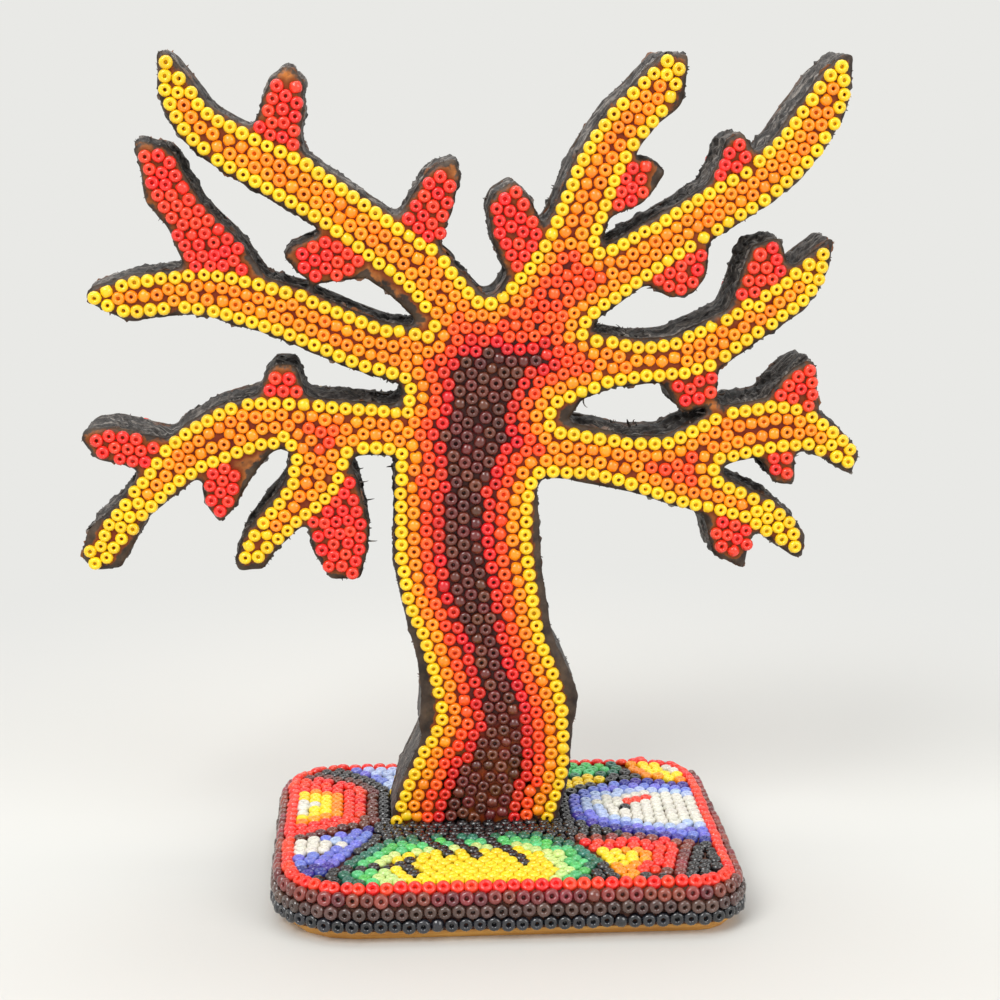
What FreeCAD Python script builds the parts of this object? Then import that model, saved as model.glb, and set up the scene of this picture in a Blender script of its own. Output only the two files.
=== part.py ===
import FreeCAD, Part
import math
import os

# Beaded tree of life: a tree sawn from board stands on a thick wooden plate.
# Both are coated with beeswax and closely set with small glass beads.
# Frame: X to the right, Y to the back, Z up, origin under the middle of the
# plate, millimetres.  The tree is drawn flat, with its own height as second
# coordinate, and is then stood up.

# ---------------------------------------------------------------- sizes
# beads and wax
bead_diameter = 2.2          # seed bead, measured over its ring
bead_stand = 0.9             # how far a bead stands out of the wax
wax_coat = 0.6               # beeswax between wood and beads
course_pitch = 0.92 * bead_diameter   # from one nested course to the next
thin_course = 1.2            # narrower remains of a course are left out

# tree board
tree_board = 12.0            # thickness of the sawn board
tree_behind = 6.25           # middle of the board, behind the plate's middle
edge_margin = 0.35           # bare wood edge outside the outer course
crotch_radius = 0.7          # saw turns in the narrow corners between limbs
outline_error = 0.34         # chord error of the sawn curves
curve_steps = 160            # points tried along a curve

# plate
plate_width = 72.5
plate_depth = 57.5
plate_thick = 7.5
corner_front_left = 12.0
corner_front_right = 7.0
corner_back_right = 9.0
corner_back_left = 9.0
corner_cuts = 4              # flats round a corner
edge_round = 2.0             # rounded upper edge
edge_cuts = 3                # flats over the upper edge
foot_chamfer = 1.4           # bevel along the underside
rim_foot = 2.0               # bare wood below the lowest rim course
rim_course = 0.93 * bead_diameter    # from one rim course to the next
rim_tuck = 0.2               # what the edge course hides of the one below it
edge_lap = 0.22              # edge course, beyond the rounding onto the flat
smallest_patch = 1.5         # area below which no bead fits
motif_width = 70.0           # plate for which the motifs are drawn
motif_depth = 57.5

# dowels between the plate and the foot of the trunk
dowel_radius = 2.5
dowel_in_plate = 5.5
dowel_in_tree = 12.0
dowel_play = 0.1
dowel_places = (-8.0, 4.0)   # along the foot of the trunk

# ---------------------------------------------------------------- derived
coat = wax_coat + bead_stand                 # wood to the top of the beads
wax_top = plate_thick + wax_coat
bead_top = plate_thick + coat
wood_near = tree_behind - tree_board / 2
wood_far = tree_behind + tree_board / 2
top_inset = edge_round + edge_lap            # plate's side to the flat field
buried = 25.0                                 # drawn below the plate, then cut

# ---------------------------------------------------------------- drawing
# Each limb: points along its middle with half the width of its bead field,
# from where it starts to its tip.
limbs = {
    "trunk": ((-4.6, -buried, 13.8), (-4.2, 9.0, 13.6), (-3.2, 13.0, 13.1),
              (-1.6, 17.0, 12.7), (-0.4, 21.3, 12.2), (0.3, 25.6, 11.8),
              (0.1, 30.0, 11.4), (-1.2, 34.4, 10.9), (-2.6, 38.7, 10.6),
              (-3.9, 43.0, 10.6), (-4.7, 47.4, 11.0), (-5.6, 51.7, 11.1),
              (-6.0, 60.7, 11.1), (-5.6, 67.0, 11.4), (-4.0, 74.0, 12.0),
              (-3.0, 81.0, 12.4), (-1.0, 88.0, 10.0), (-1.0, 91.8, 5.0)),
    "upper_left": ((-4.0, 86.0, 5.5), (-8.2, 96.3, 4.3), (-12.3, 101.0, 4.2),
                   (-19.1, 105.9, 4.1), (-26.5, 111.4, 3.9), (-33.0, 115.6, 4.1),
                   (-40.7, 119.6, 3.7), (-46.6, 123.5, 3.2), (-49.2, 127.0, 2.8),
                   (-50.8, 130.6, 2.1), (-51.7, 133.2, 1.2)),
    "middle_left": ((-3.0, 84.0, 6.0), (-14.4, 87.4, 4.3), (-21.2, 89.0, 4.1),
                    (-28.2, 92.1, 4.2), (-35.0, 94.9, 4.1), (-42.2, 96.9, 4.1),
                    (-48.0, 98.0, 3.4), (-54.0, 97.3, 3.4), (-60.3, 97.0, 2.9),
                    (-63.4, 97.2, 1.5)),
    "lower_left": ((-8.0, 76.0, 4.6), (-18.0, 75.3, 3.9), (-24.6, 75.8, 4.1),
                   (-32.5, 76.8, 4.1), (-39.3, 76.6, 4.3), (-45.5, 74.3, 4.3),
                   (-51.0, 71.2, 3.6), (-55.0, 67.3, 3.0), (-58.7, 63.5, 2.4),
                   (-62.6, 58.6, 2.3), (-65.0, 55.3, 2.1)),
    "lower_left_fork": ((-29.0, 77.0, 4.0), (-28.8, 70.8, 4.6), (-30.3, 66.5, 4.1),
                        (-32.7, 63.5, 3.2), (-35.7, 60.6, 2.6), (-38.8, 57.3, 2.4),
                        (-40.4, 55.3, 2.1)),
    "top": ((1.5, 86.0, 7.0), (4.6, 93.0, 6.8), (9.0, 99.6, 5.4),
            (11.3, 105.4, 4.2), (13.6, 111.1, 4.2), (15.7, 117.0, 3.9),
            (19.2, 123.0, 3.5), (23.9, 128.1, 3.4), (26.3, 131.8, 2.6)),
    "upper_right": ((2.0, 87.0, 6.0), (8.0, 93.4, 5.2), (14.3, 98.0, 4.4),
                    (20.3, 101.4, 4.1), (27.3, 105.9, 3.9), (35.0, 110.9, 3.5),
                    (42.0, 114.9, 3.4), (46.9, 119.8, 3.5), (50.5, 125.0, 3.3),
                    (52.6, 129.6, 2.7), (53.6, 132.4, 1.3)),
    "middle_right": ((0.0, 84.8, 7.4), (6.0, 84.9, 7.2), (11.0, 85.3, 5.8), (17.0, 86.2, 4.2),
                     (24.0, 86.1, 3.2), (31.3, 87.2, 3.5), (37.0, 90.2, 3.3),
                     (42.5, 94.0, 3.2), (47.3, 97.2, 3.0), (50.2, 100.7, 2.2),
                     (51.7, 103.0, 1.3)),
    "lower_right": ((0.0, 72.0, 5.5), (7.0, 71.8, 4.3), (12.0, 71.2, 4.0),
                    (18.0, 70.2, 3.9), (24.4, 68.7, 4.8), (29.0, 68.2, 5.6),
                    (32.0, 68.0, 4.0)),
    "lower_right_fork_up": ((24.0, 69.6, 3.0), (29.5, 71.3, 3.2), (35.0, 73.2, 4.3),
                            (41.2, 74.9, 4.5), (47.0, 75.3, 4.0), (51.2, 74.1, 2.9),
                            (54.7, 71.9, 2.3), (56.7, 70.3, 1.9)),
    "lower_right_fork_down": ((24.0, 67.4, 3.2), (29.5, 66.2, 4.0), (34.1, 64.4, 3.4),
                              (38.7, 62.6, 2.5), (43.3, 60.6, 2.5), (46.8, 57.8, 2.3),
                              (48.4, 55.6, 1.6)),
}

# Each twig: the corners of its bead field, and those of the wood under it.
twigs = {
    "twig_on_middle_left": (
        ((-55.9, 119.4), (-53.9, 120.0), (-51.4, 119.9), (-49.9, 116.4), (-47.4, 111.7),
         (-43.9, 108.6), (-40.7, 104.9), (-39.3, 99.0), (-48.0, 99.0), (-49.9, 104.0),
         (-51.8, 108.6), (-54.8, 113.6)),
        ((-56.8, 121.6), (-51.2, 120.2), (-49.5, 116.6), (-46.9, 111.9), (-43.4, 108.8),
         (-40.2, 105.0), (-36.0, 98.0), (-48.0, 97.0), (-50.4, 104.0), (-52.4, 108.3),
         (-55.3, 111.6), (-56.3, 117.0))),
    "twig_on_upper_left": (
        ((-38.4, 122.0), (-36.9, 126.0), (-35.3, 130.5), (-30.6, 130.2), (-31.0, 125.5),
         (-31.6, 118.0), (-37.0, 118.0)),
        ((-39.0, 121.5), (-37.3, 126.2), (-35.6, 130.8), (-32.8, 132.9), (-30.4, 130.4),
         (-30.6, 125.4), (-31.2, 117.0), (-37.0, 117.0))),
    "twig_below_upper_left": (
        ((-31.9, 104.9), (-29.0, 106.0), (-24.0, 107.0), (-21.0, 104.0), (-21.2, 101.9),
         (-24.3, 99.9), (-29.3, 99.2), (-32.1, 101.5)),
        ((-34.1, 103.4), (-33.2, 104.9), (-29.2, 106.4), (-24.0, 108.0), (-20.0, 104.0),
         (-20.4, 99.9), (-24.2, 99.5), (-29.5, 98.8), (-32.4, 101.0))),
    "twig_on_top_of_upper_left": (
        ((-16.3, 108.4), (-13.7, 111.6), (-12.1, 114.4), (-10.4, 116.9), (-6.7, 115.2),
         (-7.9, 110.3), (-9.4, 105.8), (-12.0, 103.0), (-17.0, 106.0)),
        ((-17.4, 107.8), (-14.1, 112.0), (-12.4, 115.2), (-10.2, 117.6), (-7.0, 118.6),
         (-6.3, 115.4), (-7.5, 110.2), (-9.0, 106.4), (-12.0, 102.0), (-17.0, 105.0))),
    "twig_in_crown": (
        ((-1.6, 110.6), (-0.4, 112.4), (2.5, 114.6), (4.7, 111.5), (6.1, 107.6),
         (8.0, 104.5), (6.0, 100.0), (2.8, 100.2), (1.3, 102.3), (-0.6, 106.0)),
        ((-2.0, 110.7), (-0.8, 113.0), (2.2, 115.0), (5.1, 111.7), (6.6, 107.8),
         (9.0, 104.5), (6.0, 97.0), (2.0, 98.0), (0.6, 101.8), (-1.2, 105.8))),
    "twig_on_lower_left": (
        ((-38.3, 79.0), (-37.3, 83.9), (-36.0, 85.2), (-33.2, 85.2), (-32.0, 82.8),
         (-31.2, 79.0)),
        ((-38.8, 79.0), (-37.7, 84.2), (-36.2, 86.1), (-32.6, 86.0), (-31.5, 82.8),
         (-30.6, 79.0))),
    "twig_left_of_lower_left": (
        ((-65.7, 74.8), (-62.0, 75.9), (-57.6, 74.8), (-53.0, 73.0), (-54.0, 69.0),
         (-59.4, 70.2), (-64.5, 71.7)),
        ((-67.2, 74.8), (-65.4, 76.0), (-61.9, 76.5), (-57.4, 75.3), (-52.0, 73.4),
         (-54.0, 68.0), (-59.4, 69.8), (-64.8, 71.2))),
    "twig_below_lower_left": (
        ((-47.4, 72.0), (-47.2, 63.9), (-45.3, 61.5), (-43.4, 63.3), (-42.2, 67.2),
         (-42.6, 73.0)),
        ((-48.2, 72.0), (-47.6, 63.6), (-45.4, 60.4), (-42.7, 62.9), (-40.7, 67.0),
         (-38.4, 70.2), (-35.0, 74.0), (-43.0, 75.0))),
    "twig_below_fork": (
        ((-24.0, 68.0), (-22.8, 63.4), (-21.8, 59.4), (-22.1, 55.6), (-23.4, 51.2),
         (-25.5, 51.1), (-28.4, 52.6), (-29.9, 55.6), (-30.4, 59.2), (-31.5, 61.4),
         (-31.0, 66.0), (-27.0, 69.0)),
        ((-23.3, 68.2), (-22.3, 63.4), (-21.3, 59.4), (-21.6, 55.4), (-22.9, 50.8),
         (-27.8, 50.6), (-30.4, 55.4), (-31.0, 59.4), (-32.6, 61.0), (-31.0, 66.0),
         (-27.0, 69.0))),
    "twig_right_of_top": (
        ((19.4, 117.4), (23.5, 117.6), (24.0, 116.0), (22.8, 111.9), (18.4, 110.1),
         (15.0, 110.0), (16.0, 117.0)),
        ((19.6, 117.9), (24.3, 118.1), (26.4, 116.2), (25.2, 114.3), (22.6, 111.3),
         (18.4, 109.6), (15.0, 109.0), (16.0, 118.0))),
    "twig_on_upper_right": (
        ((33.3, 114.0), (35.0, 117.4), (35.4, 119.8), (38.0, 121.3), (39.2, 119.6),
         (40.2, 117.0), (39.0, 113.0)),
        ((32.6, 113.6), (34.6, 117.6), (35.6, 121.2), (38.2, 122.6), (39.8, 119.9),
         (41.0, 117.0), (39.0, 112.0))),
    "twig_below_upper_right": (
        ((24.2, 99.2), (27.6, 96.7), (30.8, 97.8), (32.5, 100.0), (32.6, 103.6),
         (30.0, 105.0), (24.0, 102.0)),
        ((23.4, 98.6), (27.6, 96.2), (30.6, 96.8), (33.0, 99.6), (33.1, 104.4),
         (30.0, 106.0), (24.0, 102.0))),
    "twig_on_middle_right": (
        ((37.4, 94.6), (38.9, 98.8), (40.6, 104.0), (44.2, 105.2), (45.2, 102.4),
         (45.7, 97.6), (43.0, 94.0)),
        ((36.6, 93.6), (38.4, 99.0), (40.2, 104.6), (44.8, 105.9), (45.7, 102.5),
         (47.0, 97.6), (43.0, 93.0))),
    "twig_below_middle_right": (
        ((27.7, 86.0), (27.8, 82.2), (28.7, 79.6), (30.0, 78.5), (34.9, 79.9),
         (35.0, 82.6), (34.6, 87.0)),
        ((26.0, 86.0), (26.8, 81.6), (28.6, 78.6), (30.3, 77.6), (35.2, 79.5),
         (35.5, 82.6), (35.2, 87.0))),
    "twig_on_fork_up": (
        ((44.4, 78.0), (44.6, 81.0), (47.2, 83.3), (48.9, 85.2), (50.9, 84.6),
         (51.5, 81.0), (50.8, 76.0)),
        ((43.4, 78.0), (44.3, 81.6), (47.0, 84.3), (50.3, 86.3), (51.5, 84.6),
         (52.0, 81.0), (51.3, 75.0))),
    "twig_below_fork_up": (
        ((43.2, 73.0), (43.4, 69.0), (45.2, 66.7), (47.3, 66.7), (47.9, 73.0)),
        ((42.4, 73.0), (43.0, 68.6), (44.8, 66.0), (48.3, 65.3), (48.0, 68.5),
         (48.5, 73.0))),
    "twig_below_fork_down": (
        ((34.9, 63.0), (35.0, 57.0), (35.3, 54.8), (38.7, 53.4), (41.2, 55.4),
         (41.4, 59.0), (40.0, 62.0)),
        ((33.2, 63.0), (34.0, 57.0), (35.0, 54.0), (40.2, 51.4), (41.0, 53.6),
         (41.9, 59.0), (40.0, 62.0))),
}

# Bare shoulders of wood that reach past the outer course.
shoulders = (
    ((-51.0, 131.0), (-53.0, 133.0), (-52.9, 134.9), (-51.6, 134.9), (-50.0, 131.0)),
    ((-60.0, 99.7), (-65.4, 97.4), (-64.5, 96.4), (-59.0, 93.2), (-53.0, 93.6)),
    ((-21.0, 104.0), (-21.0, 100.0), (-17.2, 97.0), (-12.6, 92.4), (-9.0, 95.0)),
    ((-59.0, 66.5), (-66.6, 59.4), (-67.6, 55.2), (-64.0, 53.0), (-61.4, 53.2),
     (-57.6, 60.4), (-56.0, 64.0)),
    ((-32.0, 70.5), (-35.8, 66.0), (-41.2, 59.0), (-43.2, 54.4), (-42.6, 52.4),
     (-38.6, 52.6), (-35.0, 58.0), (-31.0, 61.5)),
    ((21.0, 130.0), (25.2, 134.6), (29.4, 134.4), (29.2, 129.0), (28.4, 126.4),
     (24.0, 123.0)),
    ((52.4, 131.0), (54.6, 134.6), (55.6, 134.2), (55.6, 130.0)),
    ((50.0, 101.0), (52.2, 105.4), (53.5, 105.6), (53.3, 103.4), (51.6, 100.0)),
    ((54.0, 74.4), (58.3, 71.8), (57.9, 66.8), (56.3, 67.6), (53.0, 70.0)),
    ((46.0, 60.6), (50.5, 57.2), (49.9, 53.0), (47.9, 53.5), (44.0, 58.0)),
    ((4.6, 66.0), (7.3, 67.6), (21.0, 64.6), (22.0, 68.0), (4.0, 70.0)),
    ((7.0, 78.0), (10.2, 76.4), (13.4, 80.2), (10.0, 84.0)),
    ((4.6, 67.0), (5.9, 66.0), (6.4, 58.0), (7.0, 51.0), (7.7, 46.8), (8.6, 41.0),
     (10.8, 36.0), (13.2, 30.0), (12.4, 25.0), (10.0, 24.0), (3.0, 46.0)),
    ((-14.6, 45.0), (-13.7, 38.0), (-13.1, 31.0), (-13.4, 25.0), (-12.4, 22.0),
     (-9.0, 30.0), (-12.0, 44.0)),
)

# The stretch of a limb that stays orange right through its middle.
orange_through = ((-12.5, 80.0), (-12.5, 99.0), (-36.0, 99.0), (-36.0, 86.0))

# Motifs on top of the plate, measured from its middle, in the order in which
# they are laid: a motif fills what the ones before it leave of its outline.
# They stretch with the plate.  The ground comes last.
motifs = (
    ("eye_bead", ((19.2, 3.8), (21.4, 3.8), (21.4, 5.9), (19.2, 5.9))),
    ("mouth_dash", ((21.2, 7.2), (22.4, 6.8), (25.4, 9.4), (24.4, 10.6))),
    ("head_white", ((14.2, 7.3), (15.5, 11.0), (19.5, 13.4), (24.5, 14.4), (29.5, 13.0),
                    (34.0, 8.8), (34.0, -7.2), (27.0, -5.8), (21.0, -3.2), (16.5, -0.2),
                    (14.4, 3.3))),
    ("head_periwinkle", ((12.2, 7.8), (13.8, 12.4), (18.6, 15.4), (24.4, 16.8),
                         (29.8, 15.4), (34.0, 12.4), (34.0, -10.8), (28.6, -8.8),
                         (21.6, -5.8), (16.0, -2.2), (12.4, 2.8))),
    ("head_dark_blue", ((11.0, 4.8), (12.6, 10.8), (18.0, 15.8), (24.0, 18.0),
                        (30.4, 16.8), (34.0, 14.2), (34.0, -12.6), (28.0, -11.0),
                        (21.6, -7.8), (15.8, -4.4), (12.0, -0.6))),
    ("sun_white", ((-34.5, 11.6), (-31.2, 11.4), (-29.4, 8.4), (-30.8, 5.2),
                   (-34.5, 3.4))),
    ("sun_yellow", ((-34.5, 14.2), (-28.6, 13.8), (-26.6, 9.8), (-27.0, 5.4),
                    (-31.0, 2.4), (-34.5, 1.2))),
    ("sun_orange", ((-34.5, 16.0), (-27.2, 15.6), (-24.6, 11.4), (-25.0, 4.8),
                    (-29.4, 0.6), (-34.5, -1.8))),
    ("sun_red", ((-34.5, 21.4), (-29.0, 21.2), (-25.0, 19.0), (-22.0, 15.8),
                 (-21.8, 1.8), (-25.0, 0.0), (-29.4, -3.2), (-34.5, -6.4))),
    ("sun_border", ((-35.0, 23.8), (-29.0, 23.6), (-23.6, 21.0), (-19.6, 16.8),
                    (-19.4, -0.6), (-24.2, -2.4), (-28.8, -5.6), (-35.0, -9.0))),
    ("sun_outline", ((-34.6, 23.8), (-33.0, 28.8), (-27.6, 28.8), (-20.6, 20.8),
                     (-17.4, 15.2), (-17.6, -1.2), (-19.4, -1.2), (-24.0, 12.8))),
    ("patch_back_blue", ((-29.0, 29.8), (-25.6, 29.8), (-19.0, 21.8), (-17.8, 15.8),
                         (-22.0, 18.8))),
    ("patch_back_white", ((-26.0, 29.8), (-12.0, 29.8), (-12.0, 13.2), (-18.5, 13.2),
                          (-20.0, 21.8))),
    ("patch_white", ((-35.0, -10.4), (-30.6, -7.4), (-25.6, -5.8), (-25.4, -10.2),
                     (-30.0, -13.8), (-35.0, -13.8))),
    ("patch_light_blue", ((-35.0, -13.2), (-25.0, -5.2), (-23.4, -4.6), (-24.6, -10.8),
                          (-28.4, -16.2), (-35.0, -16.4))),
    ("patch_dark_blue", ((-35.5, -9.2), (-24.0, -3.4), (-20.2, -1.4), (-20.6, -5.8),
                         (-23.6, -12.2), (-27.6, -21.6), (-31.4, -22.4),
                         (-35.5, -18.8))),
    ("leaf_lines", ((-14.2, -6.8), (-12.4, -6.8), (-7.6, -14.8), (-9.2, -15.4))),
    ("leaf_lines", ((-9.4, -6.8), (-7.6, -6.8), (-3.2, -15.0), (-4.8, -15.6))),
    ("leaf_lines", ((-4.4, -6.8), (-2.4, -6.8), (3.8, -17.8), (2.4, -18.8))),
    ("leaf_lines", ((-29.0, -20.2), (-18.0, -18.0), (-14.8, -15.4), (-13.4, -16.8),
                    (-15.2, -19.0), (-12.8, -22.8), (-14.4, -23.6), (-17.0, -20.0),
                    (-28.0, -21.8))),
    ("leaf_yellow", ((-18.6, -18.2), (-14.6, -14.4), (-8.0, -13.2), (2.6, -13.0),
                     (6.6, -16.6), (7.6, -21.2), (6.4, -27.2), (-16.0, -27.2),
                     (-18.2, -22.2))),
    ("leaf_pale", ((-20.8, -18.4), (-15.8, -12.4), (-8.0, -11.0), (3.6, -10.8),
                   (8.4, -15.6), (9.6, -21.2), (8.4, -27.2), (-18.6, -27.2),
                   (-20.4, -22.4))),
    ("leaf_green", ((-23.4, -18.6), (-17.4, -10.0), (-8.0, -8.6), (5.2, -8.6),
                    (10.8, -14.6), (12.4, -20.4), (11.0, -27.2), (-21.4, -27.2),
                    (-23.0, -22.4))),
    ("leaf_dark_green", ((-26.0, -19.0), (-19.2, -8.6), (-14.8, -6.4), (6.6, -6.4),
                         (11.8, -12.2), (15.0, -19.6), (12.6, -22.2), (12.0, -27.2),
                         (-24.6, -27.2), (-26.0, -22.2))),
    ("fan_yellow", ((14.8, -15.0), (19.0, -14.8), (20.2, -17.2), (18.6, -21.2),
                    (18.0, -24.6), (16.2, -19.6))),
    ("fan_orange", ((13.8, -13.2), (22.4, -13.8), (22.0, -18.2), (19.8, -23.2),
                    (19.4, -27.2), (17.2, -27.2))),
    ("fan_red", ((11.4, -10.0), (25.4, -10.4), (28.2, -12.6), (25.4, -23.2),
                 (19.0, -24.2))),
    ("fan_border", ((10.4, -7.8), (23.0, -7.8), (30.0, -11.8), (26.6, -25.2),
                    (24.0, -25.2))),
    ("strip_yellow", ((11.6, 13.0), (14.2, 15.4), (19.0, 17.8), (19.4, 20.4),
                      (15.0, 20.6), (11.6, 17.8))),
    ("bush_green", ((10.0, 29.8), (19.4, 29.8), (20.6, 25.8), (20.2, 22.6),
                    (14.6, 21.6), (10.0, 21.2))),
    ("bush_dark_green", ((19.0, 29.8), (21.0, 29.8), (22.8, 24.2), (21.6, 21.0),
                         (14.0, 19.2), (10.0, 19.2))),
    ("corner_orange", ((24.2, 29.8), (26.6, 29.8), (27.0, 25.2), (30.4, 20.2),
                       (34.6, 17.2), (34.6, 15.2), (29.6, 17.6), (25.4, 19.6),
                       (23.6, 23.8))),
    ("corner_yellow", ((26.0, 29.8), (28.4, 29.8), (28.8, 25.4), (31.0, 21.8),
                       (35.0, 18.4), (35.0, 14.8), (29.0, 18.8), (26.0, 22.8))),
    ("corner_white", ((27.0, 29.8), (36.0, 29.8), (36.0, 14.8), (30.0, 20.8))),
)


# ---------------------------------------------------------------- flat shapes
def flat(x, y):
    return FreeCAD.Vector(x, y, 0)


def face_up(corners):
    """Flat face inside a closed run of corners, always facing upwards."""
    face = Part.Face(Part.makePolygon(corners + corners[:1]))
    if face.normalAt(0, 0).z < 0:
        face = Part.Face(Part.makePolygon(corners[::-1] + corners[-1:]))
    return face


def polygon(points):
    return face_up([flat(x, y) for x, y in points])


def side_curve(points):
    """Points along a smooth curve through the given ones."""
    curve = Part.BSplineCurve()
    curve.interpolate(Points=points)
    return thinned(curve.toShape().discretize(Number=curve_steps))


def limb(stations, grow=0.0):
    """Outline swept along a limb's middle, closed with a round tip."""
    left = []
    right = []
    for index, (x, y, half) in enumerate(stations):
        before = stations[max(index - 1, 0)]
        after = stations[min(index + 1, len(stations) - 1)]
        run = flat(after[0] - before[0], after[1] - before[1]).normalize()
        across = flat(-run.y, run.x) * (half + grow)
        left.append(flat(x, y) + across)
        right.append(flat(x, y) - across)
    tip = (left[-1] + right[-1]) / 2 + run * (stations[-1][2] + grow)
    cap = Part.Arc(left[-1], tip, right[-1]).toShape()
    cap = cap.discretize(Deflection=outline_error)
    return face_up(side_curve(left) + cap[1:-1] + side_curve(right)[::-1])


def merged(faces):
    first, *others = faces
    if others:
        first = first.multiFuse(others)
    return Part.makeCompound(first.removeSplitter().Faces)


def above(height):
    """The part of the flat drawing above a height."""
    reach = 200.0
    return polygon(((-reach, height), (reach, height), (reach, reach), (-reach, reach)))


def thinned(points):
    """The few of a run's points that keep it within the outline's error."""
    start, end = points[0], points[-1]
    if len(points) < 3:
        return points
    off = [point.distanceToLine(start, end - start) for point in points]
    widest = max(range(1, len(points) - 1), key=off.__getitem__)
    if off[widest] < outline_error:
        return [start, end]
    return thinned(points[:widest + 1])[:-1] + thinned(points[widest:])


def faceted(region):
    """The region with its arcs and slight bends drawn as straight cuts."""
    faces = []
    for face in region.Faces:
        wires = []
        for wire in face.Wires:
            corners = []
            for edge in wire.OrderedEdges:
                chord = edge.discretize(Deflection=outline_error)
                if edge.Orientation == "Reversed":
                    chord.reverse()
                corners += chord[:-1]
            off = [corner.distanceToPoint(corners[0]) for corner in corners]
            far = off.index(max(off))
            corners = thinned(corners[:far + 1])[:-1] + thinned(corners[far:] + corners[:1])
            wires.append(Part.makePolygon(corners))
        faces.append(Part.makeFace(wires, "Part::FaceMakerBullseye"))
    return merged(faces)


def shrunk(region, depth):
    """The region less a border, without remains thinner than a thin course."""
    core = region.makeOffset2D(-(depth + thin_course / 2))
    return faceted(core.makeOffset2D(thin_course / 2))


def rounded_crotches(region):
    """The region with its inward corners rounded as a saw turns in them."""
    return faceted(region.makeOffset2D(crotch_radius).makeOffset2D(-crotch_radius))


# ---------------------------------------------------------------- standing up
def board(region, near, far):
    """Solids of a flat drawing, stood up between two distances to the back."""
    solids = []
    for face in region.Faces:
        solid = face.extrude(FreeCAD.Vector(0, 0, far - near))
        solid.translate(FreeCAD.Vector(0, 0, -far))
        solid.rotate(FreeCAD.Vector(), FreeCAD.Vector(1, 0, 0), 90)
        solids.append(solid)
    return solids


def both_faces(name, region):
    """A bead course on the front of the tree and its twin on the back."""
    front = wood_near - wax_coat
    back = wood_far + wax_coat
    save(name + "_front", board(region, front - bead_stand, front))
    save(name + "_back", board(region, back, back + bead_stand))


def save(name, solids):
    Part.makeCompound(solids).exportStep("parts/" + name + ".step")


# ---------------------------------------------------------------- plate
def plate_corners(out):
    """Corners of the plate's outline, moved outwards, with its rounded ends."""
    right, back = plate_width / 2 + out, plate_depth / 2 + out
    ends = ((-1, -1, corner_front_left), (1, -1, corner_front_right),
            (1, 1, corner_back_right), (-1, 1, corner_back_left))
    points = []
    for quarter, (side, end, radius) in enumerate(ends):
        radius += out
        middle = flat(side * (right - radius), end * (back - radius))
        for step in range(corner_cuts + 1):
            turn = math.radians(180 + 90 * (quarter + step / corner_cuts))
            points.append(middle + flat(math.cos(turn), math.sin(turn)) * radius)
    return points


def plate_outline(out):
    return face_up(plate_corners(out))


def plate_body(out, bottom, bevel=0.0):
    """The plate grown by a coat, with its upper edge rounded over."""
    radius = edge_round + out
    spring = plate_thick - edge_round
    levels = [(out - bevel, bottom), (out, bottom + bevel)][not bevel:]
    for step in range(edge_cuts + 1):
        turn = math.pi / 2 * step / edge_cuts
        levels.append((out - radius * (1 - math.cos(turn)), spring + radius * math.sin(turn)))
    rings = []
    for grown, height in levels:
        corners = [point + FreeCAD.Vector(0, 0, height) for point in plate_corners(grown)]
        rings.append(Part.makePolygon(corners + corners[:1]))
    return Part.makeLoft(rings, True, True)


def slab(bottom, top):
    reach = 2 * plate_width
    block = Part.makeBox(reach, reach, top - bottom)
    block.translate(FreeCAD.Vector(-reach / 2, -reach / 2, bottom))
    return block


def column(region, bottom, top):
    body = region.extrude(FreeCAD.Vector(0, 0, top - bottom))
    body.translate(FreeCAD.Vector(0, 0, bottom))
    return body


def dowel(along, play=0.0):
    """Upright dowel through the joint of tree and plate, or the hole for it."""
    bottom = flat(along, tree_behind) + FreeCAD.Vector(0, 0, plate_thick - dowel_in_plate - play)
    return Part.makeCylinder(dowel_radius + play, dowel_in_plate + dowel_in_tree + 2 * play, bottom)


# ---------------------------------------------------------------- build
os.makedirs("parts", exist_ok=True)

# tree: sawn board, its two wax coats and the nested courses of beads
field = rounded_crotches(merged([limb(stations) for stations in limbs.values()]))
sawn = rounded_crotches(merged(
    [limb(stations, edge_margin) for stations in limbs.values()]
    + [polygon(wood) for pad, wood in twigs.values()]
    + [polygon(shoulder) for shoulder in shoulders]))
dowel_holes = [dowel(along, dowel_play) for along in dowel_places]
core = board(sawn.common(above(plate_thick)), wood_near, wood_far)
save("tree_board", [solid.cut(dowel_holes) for solid in core])
waxed = sawn.common(above(wax_top))
save("tree_wax_front", board(waxed, wood_near - wax_coat, wood_near))
save("tree_wax_back", board(waxed, wood_far, wood_far + wax_coat))

beaded = above(bead_top)
inside = field
for course, name in enumerate(("yellow", "orange", "vermilion", "red"), 1):
    deeper = shrunk(field, course * course_pitch)
    if name == "orange":
        deeper = merged(deeper.cut(polygon(orange_through)).Faces)
    both_faces("tree_beads_" + name, inside.cut(deeper).common(beaded))
    inside = deeper
both_faces("tree_beads_brown", inside.common(beaded))
pads = merged([polygon(pad) for pad, wood in twigs.values()])
both_faces("twig_beads_coral", pads.cut(field))

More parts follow.
